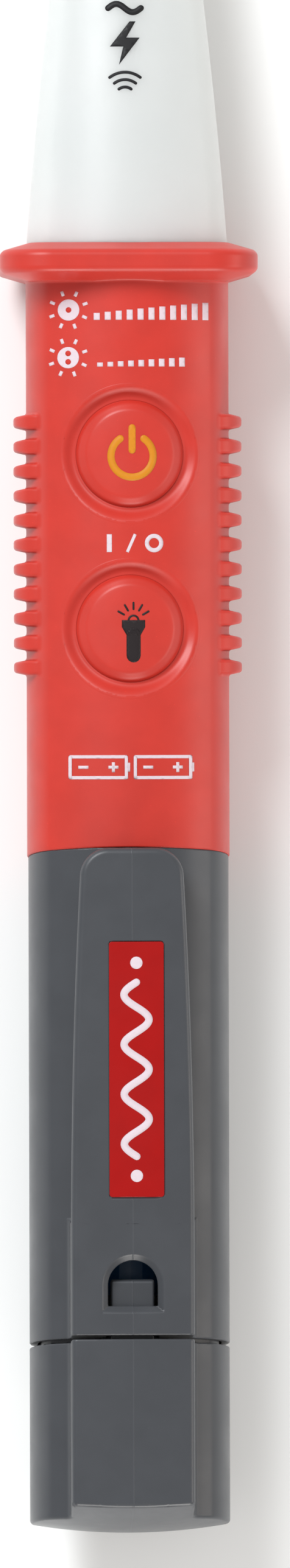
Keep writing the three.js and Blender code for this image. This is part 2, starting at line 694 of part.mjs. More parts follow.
add('circuit_board', circuitBoard(), FINISH.board);
add('power_dome', snapDome(POWER_BUTTON), FINISH.steel);
add('torch_dome', snapDome(TORCH_BUTTON), FINISH.steel);
CHIPS.forEach((chip) => add(chip.name, boardBlock(chip), FINISH.black));
add('indicator_lamp', lamp(-LAMP.x), FINISH.redLens);
add('torch_lamp', lamp(LAMP.x), FINISH.clear);
add('buzzer', buzzer(), FINISH.black);
add('boost_coil', boostCoil(), FINISH.black);
add('storage_capacitor', boardBlock({ ...CAPACITOR, height: -CAPACITOR.height }), FINISH.brass);
add('sensor_plate', sensorPlate(), FINISH.brass);
add('sensor_lead', sensorLead(), FINISH.steel);

export default tester;
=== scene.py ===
"""Looks for a pen-style non-contact voltage tester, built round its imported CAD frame.

The outer pieces are meshed from distance fields, so that every edge has its moulded rounding and
every recess its draft. A field gives, in millimetres, how far a point is outside a piece. Fields
work in barrel space: x to the right, s along the barrel from the battery cap's end, and z out of
the front face from the barrel's axis. Meshes are in metres, in the frame of the CAD model.
"""

import math

import bmesh
import bpy
import numpy as np
from mathutils import Matrix, Vector


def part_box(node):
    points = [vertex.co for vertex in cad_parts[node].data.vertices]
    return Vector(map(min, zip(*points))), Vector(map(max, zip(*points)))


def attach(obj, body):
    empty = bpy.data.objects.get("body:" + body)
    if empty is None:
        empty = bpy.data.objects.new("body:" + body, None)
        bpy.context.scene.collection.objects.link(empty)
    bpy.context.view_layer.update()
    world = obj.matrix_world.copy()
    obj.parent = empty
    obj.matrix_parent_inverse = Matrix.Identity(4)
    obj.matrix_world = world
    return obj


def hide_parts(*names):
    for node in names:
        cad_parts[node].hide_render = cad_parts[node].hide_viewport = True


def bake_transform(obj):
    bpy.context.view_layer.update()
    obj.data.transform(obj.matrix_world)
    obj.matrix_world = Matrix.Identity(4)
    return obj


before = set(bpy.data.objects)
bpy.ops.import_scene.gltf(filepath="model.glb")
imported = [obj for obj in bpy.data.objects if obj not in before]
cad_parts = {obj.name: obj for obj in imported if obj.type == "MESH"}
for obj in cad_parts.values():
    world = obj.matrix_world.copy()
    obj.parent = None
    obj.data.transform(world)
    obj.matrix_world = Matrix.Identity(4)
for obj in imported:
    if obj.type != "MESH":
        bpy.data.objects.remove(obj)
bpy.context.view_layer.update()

# ---- Sizes from the frame, in millimetres --------------------------------------------------

MM = 0.001
CAP_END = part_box("battery_cap")[0].y / MM
AXIS_Z = (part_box("front_housing")[1].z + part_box("front_housing")[0].z) / 2 / MM


def span(node, axis):
    """A node's lowest and highest value along an axis ("x", "s" or "z"), in barrel space."""
    index = "xsz".index(axis)
    shift = (0, CAP_END, AXIS_Z)[index]
    low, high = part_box(node)
    return low[index] / MM - shift, high[index] / MM - shift


def middle(node, axis):
    """The middle of a node's box along an axis, in barrel space."""
    return sum(span(node, axis)) / 2


GREY = {"width": 2 * span("rear_sleeve", "x")[1], "depth": -2 * span("rear_sleeve", "z")[0]}
RED = {"width": GREY["width"] + 0.25, "depth": GREY["depth"] + 0.25}
CROWN_RADIUS = 13.5
CORNER_RADIUS = 2.2
WALL = 1.5

LENGTH = span("nose_cone", "s")[1]
SLANT = 0.125
FLANGE_END = span("front_housing", "s")[1]
RED_START = span("front_housing", "s")[0] + SLANT * RED["depth"] / 2
SLEEVE_START = span("rear_sleeve", "s")[0] + SLANT * GREY["depth"] / 2
SPIGOT_END = span("rear_sleeve", "s")[1]
SLEEVE_END = RED_START - 0.06
CAP_SPLIT = SLEEVE_START - 0.4
COLLAR_END = span("battery_cap", "s")[1]
BUTTONS = {"power_button": middle("power_button", "s"), "torch_button": middle("torch_button", "s")}

FLANGE_WIDTH = 2 * span("front_housing", "x")[1]
FLANGE_DEPTH = 2 * span("front_housing", "z")[1]
FLANGE_MIDDLE = FLANGE_END - 1.975
FLANGE_RIM = 2.1

RIDGE_TOP = span("battery_cap", "z")[1]
RIDGE_HALF_WIDTH = span("pocket_clip", "x")[1]
RIDGE_CROWN = 0.2
CLIP_ROOT = span("pocket_clip", "s")[0] - 0.3
CLIP_END = span("pocket_clip", "s")[1]
CLIP_PAD = span("pocket_clip", "z")[0]
CLIP_THICKNESS = 1.8
WINDOW = {"half": 2.51, "from": 23.65, "arch": 25.75}
CHANNEL = {"half": 2.6, "roof": 10.3, "end": 29.6}

NOSE_START = FLANGE_END - 0.3


# ---- Fields --------------------------------------------------------------------------------


def round_and(a, b, radius):
    """What is inside both fields, with the edge between them rounded."""
    return np.minimum(np.maximum(a, b), -radius) + np.hypot(
        np.maximum(a + radius, 0), np.maximum(b + radius, 0)
    )


def round_or(a, b, radius):
    """What is inside either field, with a fillet where they meet."""
    return np.maximum(np.minimum(a, b), radius) - np.hypot(
        np.maximum(radius - a, 0), np.maximum(radius - b, 0)
    )


def cut(body, tool, radius=0.15):
    """The body without the tool, with the cut's edges rounded."""
    return round_and(body, -tool, radius)


def between(value, low, high):
    """A slab between two values."""
    return np.abs(value - (low + high) / 2) - (high - low) / 2


def barrel(x, z, size, inset=0.0):
    """The barrel's section: crowned front and back, straight sides, rounded corners."""
    half_width = size["width"] / 2 - inset
    half_depth = size["depth"] / 2 - inset
    radius = CROWN_RADIUS - inset
    crown = np.hypot(x, np.abs(z) + radius - half_depth) - radius
    return round_and(crown, np.abs(x) - half_width, max(CORNER_RADIUS - inset, 0.5))


def rounded_rectangle(x, z, width, depth, corner):
    """A rectangle with rounded corners."""
    return round_and(np.abs(x) - width / 2, np.abs(z) - depth / 2, corner)


def smoothstep(value, low, high):
    """A smooth rise from 0 at low to 1 at high."""
    t = np.clip((value - low) / (high - low), 0, 1)
    return t * t * (3 - 2 * t)


# The ribs: station of the middle one, how far they stand out, width at tip and root, and outline.
RIB = {"count": 11, "pitch": 2.48, "middle": 100.25, "proud": 1.25, "tip": 1.0, "root": 1.5}
RIB_DEPTH, RIB_CORNER, RIB_EDGE = 9.9, 3.65, 0.28
FLANGE_CORNER, FLANGE_DRAFT, FLANGE_EDGE = 5.2, 0.29, 0.55
# How far the housing's rear edge reaches into the CAD's gap, so that only a hairline shows.
LIP = 0.1
DISH_RIM = 6.95
PAD_RADIUS = 5.4


def grip_ribs(x, s, z):
    """The drafted ribs on both sides."""
    outer = rounded_rectangle(x, z, RED["width"] + 2 * RIB["proud"], RIB_DEPTH, RIB_CORNER)
    last = (RIB["count"] - 1) / 2
    nearest = np.clip(np.round((s - RIB["middle"]) / RIB["pitch"]), -last, last)
    offset = np.abs(s - RIB["middle"] - nearest * RIB["pitch"])
    rise = np.clip((np.abs(x) - RED["width"] / 2) / RIB["proud"], 0, 1)
    half = (RIB["root"] + (RIB["tip"] - RIB["root"]) * rise) / 2
    return round_and(outer, offset - half, RIB_EDGE)


def guard_flange(x, s, z):
    """The drafted guard flange, thicker towards the barrel."""
    rim = rounded_rectangle(x, z, FLANGE_WIDTH, FLANGE_DEPTH, FLANGE_CORNER)
    half = FLANGE_RIM / 2 + np.clip(-rim, 0, 3) * FLANGE_DRAFT
    return round_and(rim, np.abs(s - FLANGE_MIDDLE) - half, FLANGE_EDGE)


def housing_field(x, s, z):
    """The red housing: barrel, flange, ribs, round openings for the dishes, and the hollow."""
    skin = barrel(x, z, RED)
    rear = RED_START - LIP + SLANT * z - s
    body = round_and(skin, np.maximum(rear, s - FLANGE_END + 0.3), 0.14)
    body = round_or(body, grip_ribs(x, s, z), 0.25)
    body = round_or(body, guard_flange(x, s, z), 0.25)
    for station in BUTTONS.values():
        hole = np.maximum(np.hypot(x, s - station) - DISH_RIM + 0.2, 1 - z)
        body = np.maximum(body, -hole)
    hollow = np.minimum(
        barrel(x, z, RED, WALL), np.maximum(barrel(x, z, RED, 0.8), s - SPIGOT_END - 0.3)
    )
    return np.maximum(body, -hollow)


def ridge_top(x):
    """The height of the ridge's slightly crowned top."""
    return RIDGE_TOP - RIDGE_CROWN * (x / RIDGE_HALF_WIDTH) ** 2


def ridge(x, z):
    """The section of the ridge that carries the clip, with rounded top edges."""
    return round_and(np.abs(x) - RIDGE_HALF_WIDTH, np.maximum(z - ridge_top(x), 3 - z), 0.6)


def latch_window(x, s, z):
    """The D-shaped window with its bevelled rim."""
    arch = np.hypot(x, s - WINDOW["arch"]) - WINDOW["half"]
    straight = np.maximum(np.abs(x) - WINDOW["half"], WINDOW["from"] - s)
    outline = np.where(s > WINDOW["arch"], arch, straight)
    flare = np.clip(z - (RIDGE_TOP - 0.6), 0, 2) * 1.08
    return np.maximum(outline - flare, 9.0 - z)


def sleeve_field(x, s, z):
    """The grey sleeve with the ridge's root, the latch channel and window, and the spigot."""
    leaning = s - SLANT * z
    outline = round_or(barrel(x, z, GREY), np.maximum(ridge(x, z), s - CLIP_ROOT), 0.45)
    shell = round_and(outline, between(leaning, SLEEVE_START, SLEEVE_END), 0.15)
    spigot = np.maximum(barrel(x, z, RED, 1.1), between(s, SLEEVE_END - 2, SPIGOT_END))
    body = np.minimum(shell, spigot)
    hollow = np.minimum(
        np.maximum(barrel(x, z, GREY, WALL), s - SLEEVE_END + 2),
        np.maximum(barrel(x, z, GREY, 0.9), s - COLLAR_END - 1),
    )
    hollow = np.minimum(hollow, np.maximum(barrel(x, z, RED, 1.9), SLEEVE_END - 3 - s))
    channel = np.maximum(np.abs(x) - CHANNEL["half"], between(z, 5, CHANNEL["roof"]))
    channel = np.maximum(channel, s - CHANNEL["end"])
    body = cut(body, latch_window(x, s, z), 0.1)
    return np.maximum(cut(body, channel, 0.12), -hollow)


CAP_DOME = {"x": 50.4, "s": 43.0, "z": 41.0, "start": 0.3}


def cap_field(x, s, z):
    """The battery cap: domed end, ridge, hollow, collar and the slot of the latch tongue."""
    leaning = s - SLANT * z
    along = (leaning - CAP_DOME["start"]) / CAP_DOME["s"] - 1
    dome = np.sqrt((x / CAP_DOME["x"]) ** 2 + along**2 + (z / CAP_DOME["z"]) ** 2)
    dome = (dome - 1) * CAP_DOME["s"]
    outline = round_or(barrel(x, z, GREY), ridge(x, z), 0.45)
    body = round_and(outline, dome, 0.3)
    body = round_and(body, leaning - CAP_SPLIT, 0.15)
    body = np.minimum(
        body, np.maximum(barrel(x, z, GREY, 1.15), between(s, CAP_SPLIT - 3, COLLAR_END))
    )
    hollow = np.minimum(
        np.maximum(barrel(x, z, GREY, WALL), between(s, 2.6, CAP_SPLIT - 2)),
        np.maximum(barrel(x, z, GREY, 1.9), CAP_SPLIT - 3 - s),
    )
    slot = np.maximum(np.abs(x) - CHANNEL["half"], between(z, 8.0, 10.4))
    slot = np.maximum(slot, span("cap_latch", "s")[0] - 0.5 - s)
    return np.maximum(np.maximum(body, -hollow), -slot)


def clip_half_width(s):
    """Half the clip's width: full at the root, drawn in towards the free end along a curve."""
    t = np.clip((s - CLIP_ROOT) / (CLIP_END - CLIP_ROOT), 0, 1)
    return RIDGE_HALF_WIDTH - 0.25 * t - 0.9 * t**2.2


def clip_field(x, s, z):
    """The pocket clip and its gripping pad."""
    corner = 2.7
    tuck = 0.03 * np.clip(CLIP_ROOT - s, 0, 2) ** 2
    plan = round_and(np.abs(x) - clip_half_width(s), s - CLIP_END, corner) + tuck
    top = ridge_top(x) - tuck
    bar = round_and(plan, np.maximum(z - top, RIDGE_TOP - CLIP_THICKNESS - z), 0.6)
    bar = np.maximum(bar, CLIP_ROOT - 0.8 - s)
    pad_plan = rounded_rectangle(x, s - (CLIP_END - 5), 6, 4.5, 1.2)
    pad = round_and(pad_plan, between(z, CLIP_PAD, RIDGE_TOP - 0.8), 0.3)
    seat_plan = rounded_rectangle(x - LABEL["x"], s - LABEL["s"], LABEL["width"], LABEL["length"], 0.35)
    seat = np.maximum(seat_plan - 0.05, ridge_top(x) - 0.12 - z)
    return cut(round_or(bar, pad, 0.4), seat, 0.04)


def latch_field(x, s, z):
    """The latch tongue with a thumb block under the window."""
    low, high = span("cap_latch", "s")
    base, top = span("cap_latch", "z")
    half = span("cap_latch", "x")[1]
    tongue = round_and(np.abs(x) - half, between(z, base, top - 0.5), 0.2)
    tongue = round_and(tongue, between(s, low, high), 0.2)
    block = round_and(np.abs(x) - half, between(z, base, top), 0.2)
    block = round_and(block, between(s, WINDOW["from"] - 0.6, high), 0.25)
    return round_or(tongue, block, 0.2)


NOSE = {"width": 20.3, "depth": 16.7, "tip_width": 10.0, "tip_depth": 4.8, "bend": 0.35, "round": 3.2}


def nose_section(x, s, z, end, inset):
    """The nose's section at a station, falling off along a parabola and rounded off at the tip."""
    t = np.clip((s - FLANGE_END) / (LENGTH - FLANGE_END), 0, 1.05)
    fall = (1 - NOSE["bend"]) * t + NOSE["bend"] * t * t
    into = np.clip((s - end + NOSE["round"]) / NOSE["round"], 0, 1)
    rounding = np.sqrt(np.maximum(1 - into**2.2, 1e-4))
    wide = (NOSE["width"] / 2 * (1 - (1 - NOSE["tip_width"] / NOSE["width"]) * fall) - inset) * rounding
    deep = (NOSE["depth"] / 2 * (1 - (1 - NOSE["tip_depth"] / NOSE["depth"]) * fall) - inset) * rounding
    scale_x = NOSE["width"] / 2 / wide
    scale_z = NOSE["depth"] / 2 / deep
    scaled = barrel(x * scale_x, z * scale_z, NOSE)
    return np.maximum(scaled * np.minimum(1 / scale_x, 1 / scale_z), s - end)


def nose_field(x, s, z):
    """The translucent nose: a hollow taper with a spigot in the housing."""
    spigot_start = span("nose_cone", "s")[0]
    outside = np.maximum(nose_section(x, s, z, LENGTH, 0), NOSE_START - s)
    spigot = np.maximum(barrel(x, z, RED, 1.8), between(s, spigot_start, NOSE_START + 1))
    inside = np.maximum(nose_section(x, s, z, LENGTH - 2.5, 1.4), NOSE_START + 1 - s)
    bore = np.maximum(barrel(x, z, RED, 3.0), s - NOSE_START - 1.5)
    return np.maximum(np.minimum(outside, spigot), -np.minimum(inside, bore))


LABEL = {
    "x": middle("clip_label", "x"),
    "s": middle("clip_label", "s"),
    "width": span("clip_label", "x")[1] - span("clip_label", "x")[0],
    "length": span("clip_label", "s")[1] - span("clip_label", "s")[0],
}


def label_field(x, s, z):
    """The printed film on the clip."""
    plan = rounded_rectangle(x - LABEL["x"], s - LABEL["s"], LABEL["width"], LABEL["length"], 0.3)
    rise = z - ridge_top(x)
    return round_and(plan, between(rise, -0.1, 0.03), 0.02)


# ---- Meshing -------------------------------------------------------------------------------


def marks(start, *spans):
    """Grid lines from start through (end, step) spans."""
    lines = [start]
    for end, step in spans:
        count = max(1, round((end - lines[-1]) / step))
        lines.extend(np.linspace(lines[-1], end, count + 1)[1:])
    return np.array(lines)


def gradient(field, points, step=0.02):
    """The field's direction of increase at each point, not yet of length 1."""
    parts = []
    for axis in range(3):
        ahead, behind = points.copy(), points.copy()
        ahead[:, axis] += step
        behind[:, axis] -= step
        parts.append((field(*ahead.T) - field(*behind.T)) / (2 * step))
    return np.stack(parts, -1)


CUBE = np.array([(i, j, k) for i in (0, 1) for j in (0, 1) for k in (0, 1)])
CUBE_EDGES = [
    (a, b) for a in range(8) for b in range(a + 1, 8) if np.abs(CUBE[a] - CUBE[b]).sum() == 1
]


def surface_net(field, xs, ss, zs):
    """Vertices and quads of the surface where the field is 0, on a grid with uneven lines."""
    lines = (xs, ss, zs)
    values = np.empty([len(line) for line in lines])
    grid_s, grid_z = np.meshgrid(ss, zs, indexing="ij")
    for i, x in enumerate(xs):
        values[i] = field(np.full(grid_s.shape, x), grid_s, grid_z)
    inside = values < 0
    corners = sum(
        inside[i : inside.shape[0] - 1 + i, j : inside.shape[1] - 1 + j, k : inside.shape[2] - 1 + k]
        .astype(np.int8)
        for i, j, k in CUBE
    )
    cells = np.argwhere((corners > 0) & (corners < 8))
    total = np.zeros((len(cells), 3))
    crossings = np.zeros(len(cells))
    place = [
        np.stack([lines[axis][cells[:, axis] + offset[axis]] for axis in range(3)], -1)
        for offset in CUBE
    ]
    value = [values[tuple((cells + offset).T)] for offset in CUBE]
    for a, b in CUBE_EDGES:
        crossed = (value[a] < 0) != (value[b] < 0)
        share = np.where(crossed, value[a] / np.where(crossed, value[a] - value[b], 1), 0)
        total += crossed[:, None] * (place[a] + share[:, None] * (place[b] - place[a]))
        crossings += crossed
    points = total / crossings[:, None]

    number = np.full([n - 1 for n in values.shape], -1)
    number[tuple(cells.T)] = np.arange(len(cells))
    quads = []
    for axis in range(3):
        along = np.eye(3, dtype=int)[axis]
        first, second = (np.eye(3, dtype=int)[(axis + turn) % 3] for turn in (1, 2))
        here = inside[tuple(slice(0, n - d) for n, d in zip(inside.shape, along))]
        there = inside[tuple(slice(d, n) for n, d in zip(inside.shape, along))]
        edges = np.argwhere(here != there)
        edges = edges[(edges[:, (axis + 1) % 3] > 0) & (edges[:, (axis + 2) % 3] > 0)]
        outward = here[tuple(edges.T)]
        around = [edges - first - second, edges - second, edges, edges - first]
        ring = np.stack([number[tuple(corner.T)] for corner in around], -1)
        quads.append(np.where(outward[:, None], ring, ring[:, ::-1]))
    return points, np.concatenate(quads)


def settle(field, points, rounds=4, reach=0.25):
    """Move points onto the surface along the field's gradient."""
    for _ in range(rounds):
        slope = gradient(field, points)
        length = np.maximum((slope**2).sum(-1), 0.05)
        step = (field(*points.T) / length)[:, None] * slope
        points = points - np.clip(step, -reach, reach)
    return points


def to_frame(points):
    """Barrel space in millimetres to the CAD frame in metres."""
    return (np.asarray(points, float) + (0, CAP_END, AXIS_Z)) * MM


def add_object(name, mesh):
    """Put a mesh or other data into the scene as an object."""
    piece = bpy.data.objects.new(name, mesh)
    bpy.context.scene.collection.objects.link(piece)
    return piece


def field_piece(name, field, xs, ss, zs, material, slot, body, *replaced):
    """Mesh a field as a piece that rides on a body and stands for CAD nodes."""
    points, quads = surface_net(field, xs, ss, zs)
    points = settle(field, points)
    normals = gradient(field, points)
    normals /= np.maximum(np.linalg.norm(normals, axis=1, keepdims=True), 1e-9)
    mesh = bpy.data.meshes.new(name)
    mesh.from_pydata(to_frame(points), [], quads.tolist())
    mesh.polygons.foreach_set("use_smooth", [True] * len(mesh.polygons))
    mesh.normals_split_custom_set_from_vertices(normals)
    mesh.materials.append(material)
    piece = add_object(name, mesh)
    if body is not None:
        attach(piece, body)
    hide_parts(*replaced)
    return piece


# ---- Round pieces on the crowned front ------------------------------------------------------

SURROUND_DEPTH = 0.75
PAD_DEPTH = 1.3


def crown(x):
    """The height of the red barrel's crowned front."""
    return RED["depth"] / 2 - CROWN_RADIUS + np.sqrt(CROWN_RADIUS**2 - x**2)


def rounding(from_point, corner, to_point, steps=8):
    """Points on a curve that rounds a corner off."""
    t = np.linspace(0, 1, steps + 1)[:, None]
    a, b, c = (np.array(point, float) for point in (from_point, corner, to_point))
    return [tuple(point) for point in a * (1 - t) ** 2 + 2 * b * t * (1 - t) + c * t**2]


def surround_profile():
    """The dish round a button, from its lip over the skin down to the hole and back underneath."""
    radii = np.linspace(DISH_RIM - 0.02, 5.6, 26)
    wall = [(r, -SURROUND_DEPTH * (1 - smoothstep(r, 5.6, DISH_RIM))) for r in radii]
    hole = PAD_RADIUS + 0.012
    return [
        (DISH_RIM + 0.2, -0.004),
        (DISH_RIM + 0.12, 0.003),
        (DISH_RIM, 0.003),
        *[(r, h + 0.003) for r, h in wall],
        (hole + 0.03, -SURROUND_DEPTH),
        (hole, -SURROUND_DEPTH - 0.005),
        (hole, -SURROUND_DEPTH - 0.04),
        (hole, -1.45),
        (DISH_RIM + 0.2, -1.45),
    ]


PAD_TOP = [
    (0, 0.24),
    (1.5, 0.235),
    (3.0, 0.215),
    (4.0, 0.18),
    *rounding((4.25, 0.165), (4.42, 0.15), (4.6, 0.03)),
    *rounding((4.85, -0.13), (5.06, -0.25), (5.2, -0.42)),
    (5.38, -0.7),
]
PAD_UNDERSIDE = [
    (PAD_RADIUS, -0.74),
    (PAD_RADIUS, -PAD_DEPTH + 0.05),
    (PAD_RADIUS - 0.05, -PAD_DEPTH),
    (2.0, -PAD_DEPTH),
    (0, -PAD_DEPTH),
]


def crown_lathe(name, station, profile, material, slot, body, *replaced, sides=192):
    """Turn a profile of radius and height above the crown round a button's axis."""
    angles = np.linspace(0, 2 * np.pi, sides, endpoint=False)
    points, rings = [], []
    for r, h in profile:
        count = 1 if r == 0 else sides
        x, s = r * np.cos(angles[:count]), r * np.sin(angles[:count])
        rings.append(np.arange(count) + len(points))
        points.extend(np.stack([x, station + s, crown(x) + h], -1))
    closed = profile[0][0] > 0
    faces = []
    for outer, inner in zip(rings, rings[1:] + rings[:1] if closed else rings[1:]):
        for i in range(sides):
            j = (i + 1) % sides
            places = ((outer, i), (inner, i), (inner, j), (outer, j))
            corners = [ring[place % len(ring)] for ring, place in places]
            faces.append([int(c) for c in dict.fromkeys(corners)])
    mesh = bpy.data.meshes.new(name)
    mesh.from_pydata(to_frame(points), [], faces)
    mesh.polygons.foreach_set("use_smooth", [True] * len(mesh.polygons))
    bm = bmesh.new()
    bm.from_mesh(mesh)
    bmesh.ops.recalc_face_normals(bm, faces=bm.faces)
    bm.to_mesh(mesh)
    bm.free()
    mesh.materials.append(material)
    piece = add_object(name, mesh)
    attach(piece, body)
    if replaced:
        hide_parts(*replaced)


# ---- Materials -----------------------------------------------------------------------------


def linear(*srgb):
    """An sRGB colour, 0 to 255, as scene-linear RGBA."""
    values = [c / 255 for c in srgb]
    return (*[c / 12.92 if c <= 0.04045 else ((c + 0.055) / 1.055) ** 2.4 for c in values], 1.0)


class Nodes:
    """A material's node tree, with short calls to add and join nodes."""

    def __init__(self, name):
        self.material = bpy.data.materials.new(name)
        self.material.use_nodes = True
        self.tree = self.material.node_tree
        self.shader = self.tree.nodes["Principled BSDF"]
        self.place = self.add("ShaderNodeTexCoord").outputs["Object"]

    def add(self, kind, **settings):
        node = self.tree.nodes.new(kind)
        for key, value in settings.items():
            setattr(node, key, value)
        return node

    def join(self, output, socket):
        self.tree.links.new(output, socket)

    def noise(self, scale, detail=2.0, roughness=0.5):
        """Noise whose features are about 1/scale metres wide."""
        node = self.add("ShaderNodeTexNoise")
        node.inputs["Scale"].default_value = scale
        node.inputs["Detail"].default_value = detail
        node.inputs["Roughness"].default_value = roughness
        self.join(self.place, node.inputs["Vector"])
        return node.outputs["Fac"]

    def spread(self, value, low, high, to_low, to_high):
        """Map a range of a value onto another range."""
        node = self.add("ShaderNodeMapRange")
        limits = {"From Min": low, "From Max": high, "To Min": to_low, "To Max": to_high}
        for socket, number in limits.items():
            node.inputs[socket].default_value = number
        self.join(value, node.inputs["Value"])
        return node.outputs["Result"]

    def mix(self, factor, first, second, blend="MIX"):
        """Mix two colours, each a fixed colour or an output."""
        node = self.add("ShaderNodeMix", data_type="RGBA", blend_type=blend)
        self.join(factor, node.inputs["Factor"])
        for socket, colour in ((node.inputs[6], first), (node.inputs[7], second)):
            if isinstance(colour, bpy.types.NodeSocket):
                self.join(colour, socket)
            else:
                socket.default_value = colour
        return node.outputs[2]

    def math(self, operation, *values):
        node = self.add("ShaderNodeMath", operation=operation)
        for socket, value in zip(node.inputs, values):
            if isinstance(value, bpy.types.NodeSocket):
                self.join(value, socket)
            else:
                socket.default_value = value
        return node.outputs["Value"]

    def bump(self, height, distance, strength=1.0, after=None):
        """Bump of a height field; distance is the depth of a full step, in metres."""
        node = self.add("ShaderNodeBump")
        node.inputs["Distance"].default_value = distance
        node.inputs["Strength"].default_value = strength
        self.join(height, node.inputs["Height"])
        if after is not None:
            self.join(after, node.inputs["Normal"])
        return node.outputs["Normal"]


def shade(colour, factor):
    """A colour made lighter or darker by a factor."""
    return (*[min(1.0, c * factor) for c in colour[:3]], 1.0)


def moulded(name, colour, roughness, grain=9000, grain_depth=4e-6, seam=False, specks=0.35):
    """Satin moulded plastic: mottling, a fine grain, dust specks, rubbed patches and a parting line."""
    n = Nodes(name)
    mottle = n.spread(n.noise(320, 3), 0.35, 0.65, 0.0, 1.0)
    tone = n.mix(mottle, shade(colour, 0.965), shade(colour, 1.035))
    speck = n.spread(n.noise(5200, 1), 0.74, 0.8, 0.0, specks)
    tone = n.mix(speck, tone, shade(colour, 1.6))
    height = n.noise(grain, 2, 0.6)
    normal = n.bump(height, grain_depth)
    if seam:
        split = n.add("ShaderNodeSeparateXYZ")
        n.join(n.place, split.inputs["Vector"])
        across = n.math("ABSOLUTE", split.outputs["X"])
        line = n.spread(across, 3e-5, 9e-5, 1.0, 0.0)
        tone = n.mix(n.math("MULTIPLY", line, 0.35), tone, shade(colour, 1.5))
        normal = n.bump(line, 2.5e-5, after=normal)
    rubbed = n.spread(n.noise(140, 4, 0.6), 0.4, 0.7, roughness, roughness - 0.09)
    n.join(tone, n.shader.inputs["Base Color"])
    n.join(rubbed, n.shader.inputs["Roughness"])
    n.join(normal, n.shader.inputs["Normal"])
    n.shader.inputs["IOR"].default_value = 1.5
    n.shader.inputs["Specular IOR Level"].default_value = 0.4
    n.shader.inputs["Sheen Weight"].default_value = 0.08
    n.shader.inputs["Sheen Roughness"].default_value = 0.3
    return n


def nose_material():
    """Milky translucent plastic, with faint flow marks."""
    n = Nodes("nose_white")
    cloud = n.spread(n.noise(60, 2), 0.35, 0.65, 0.0, 1.0)
    n.join(n.mix(cloud, linear(209, 213, 211), linear(214, 217, 215)), n.shader.inputs["Base Color"])
    n.join(n.spread(n.noise(260, 3), 0.4, 0.6, 0.34, 0.42), n.shader.inputs["Roughness"])
    n.join(n.bump(n.noise(2600, 2), 2e-6), n.shader.inputs["Normal"])
    n.shader.inputs["Subsurface Weight"].default_value = 0.85
    n.shader.inputs["Subsurface Radius"].default_value = (1.0, 1.0, 1.0)
    n.shader.inputs["Subsurface Scale"].default_value = 0.007
    n.shader.inputs["IOR"].default_value = 1.49
    return n


def ink(name, colour, roughness=0.5):
    """Pad-printed ink: slightly uneven in cover."""
    n = Nodes(name)
    thin = n.spread(n.noise(2600, 2), 0.4, 0.7, 0.0, 0.5)
    n.join(n.mix(thin, colour, shade(colour, 0.93)), n.shader.inputs["Base Color"])
    n.join(n.spread(n.noise(900, 2), 0.3, 0.7, roughness, roughness + 0.1), n.shader.inputs["Roughness"])
    n.shader.inputs["Specular IOR Level"].default_value = 0.3
    return n


def metal(name, colour, roughness):
    """Drawn or stamped metal, brushed along the barrel."""
    n = Nodes(name)
    stretch = n.add("ShaderNodeMapping")
    stretch.inputs["Scale"].default_value = (9000, 300, 9000)
    n.join(n.place, stretch.inputs["Vector"])
    streaks = n.add("ShaderNodeTexNoise")
    streaks.inputs["Scale"].default_value = 1.0
    n.join(stretch.outputs["Vector"], streaks.inputs["Vector"])
    tone = n.mix(streaks.outputs["Fac"], shade(colour, 0.85), shade(colour, 1.1))
    n.join(tone, n.shader.inputs["Base Color"])
    rough = n.spread(streaks.outputs["Fac"], 0.3, 0.7, roughness, roughness + 0.15)
    n.join(rough, n.shader.inputs["Roughness"])
    n.shader.inputs["Metallic"].default_value = 1.0
    return n


def cell_material(node):
    """A cell: printed film on its can, bare steel at both ends."""
    n = Nodes(f"{node}_jacket")
    split = n.add("ShaderNodeSeparateXYZ")
    n.join(n.place, split.inputs["Vector"])
    low, high = (value.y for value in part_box(node))
    rear = n.math("GREATER_THAN", split.outputs["Y"], low + 0.7 * MM)
    front = n.math("LESS_THAN", split.outputs["Y"], high - 1.7 * MM)
    film = n.math("MULTIPLY", rear, front)
    band = n.math("LESS_THAN", split.outputs["Y"], low + 9 * MM)
    blue = n.mix(band, linear(38, 92, 140), linear(196, 150, 70))
    scuffed = n.mix(n.spread(n.noise(900, 3), 0.55, 0.75, 0.0, 0.3), blue, linear(90, 120, 150))
    n.join(n.mix(film, linear(190, 192, 196), scuffed), n.shader.inputs["Base Color"])
    n.join(n.math("SUBTRACT", 1.0, film), n.shader.inputs["Metallic"])
    n.join(n.spread(n.noise(700, 2), 0.3, 0.7, 0.28, 0.4), n.shader.inputs["Roughness"])
    return n


def board_material():
    """Green solder mask over copper traces."""
    n = Nodes("solder_mask")
    bricks = n.add("ShaderNodeTexBrick")
    bricks.inputs["Scale"].default_value = 420.0
    bricks.inputs["Mortar Size"].default_value = 0.03
    n.join(n.place, bricks.inputs["Vector"])
    traces = n.spread(bricks.outputs["Fac"], 0.0, 1.0, 0.0, 1.0)
    n.join(n.mix(traces, linear(28, 92, 52), linear(70, 140, 70)), n.shader.inputs["Base Color"])
    n.join(n.spread(n.noise(1500, 2), 0.3, 0.7, 0.3, 0.42), n.shader.inputs["Roughness"])
    n.join(n.bump(traces, 1.5e-5), n.shader.inputs["Normal"])
    return n


def lens_material(name, colour):
    """A clear or tinted lamp body."""
    n = Nodes(name)
    n.join(n.mix(n.noise(400, 2), shade(colour, 0.94), colour), n.shader.inputs["Base Color"])
    n.join(n.spread(n.noise(2000, 2), 0.3, 0.7, 0.04, 0.1), n.shader.inputs["Roughness"])
    n.shader.inputs["Transmission Weight"].default_value = 0.7
    n.shader.inputs["IOR"].default_value = 1.52
    return n


RED_COLOUR = linear(184, 46, 35)
GREY_COLOUR = linear(61, 63, 67)
WHITE_INK = linear(205, 190, 197)
ORANGE_INK = linear(196, 124, 16)
DARK_INK = linear(26, 17, 19)
BLACK_INK = linear(22, 22, 24)
LABEL_COLOUR = linear(150, 8, 6)

